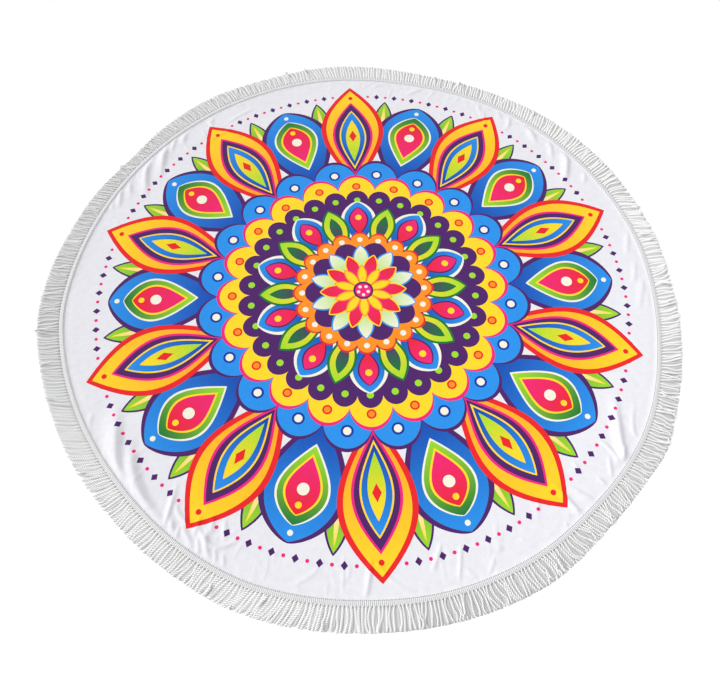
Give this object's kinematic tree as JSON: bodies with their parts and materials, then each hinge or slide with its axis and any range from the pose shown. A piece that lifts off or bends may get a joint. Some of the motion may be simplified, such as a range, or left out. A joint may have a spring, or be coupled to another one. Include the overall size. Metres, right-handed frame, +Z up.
{
  "type": "round beach towel",
  "caption": "Round beach towel laid out flat: a thin hemmed cloth with soft folds near its edge, and a corded fringe trim sewn round it.",
  "frame": {"origin": "under the middle of the cloth, on the surface that it lies on", "axes": "+Z up out of the printed face, +Y towards the far side as pictured"},
  "size_m": [1.5147, 1.5044, 0.0098],
  "materials": {
    "printed_cloth": "soft matt pile, printed on its face",
    "cotton_trim": "matt plied cotton cord"
  },
  "bodies": {
    "root": {"cloth": "printed_cloth", "fringe_trim": "cotton_trim"}
  },
  "joints": []
}
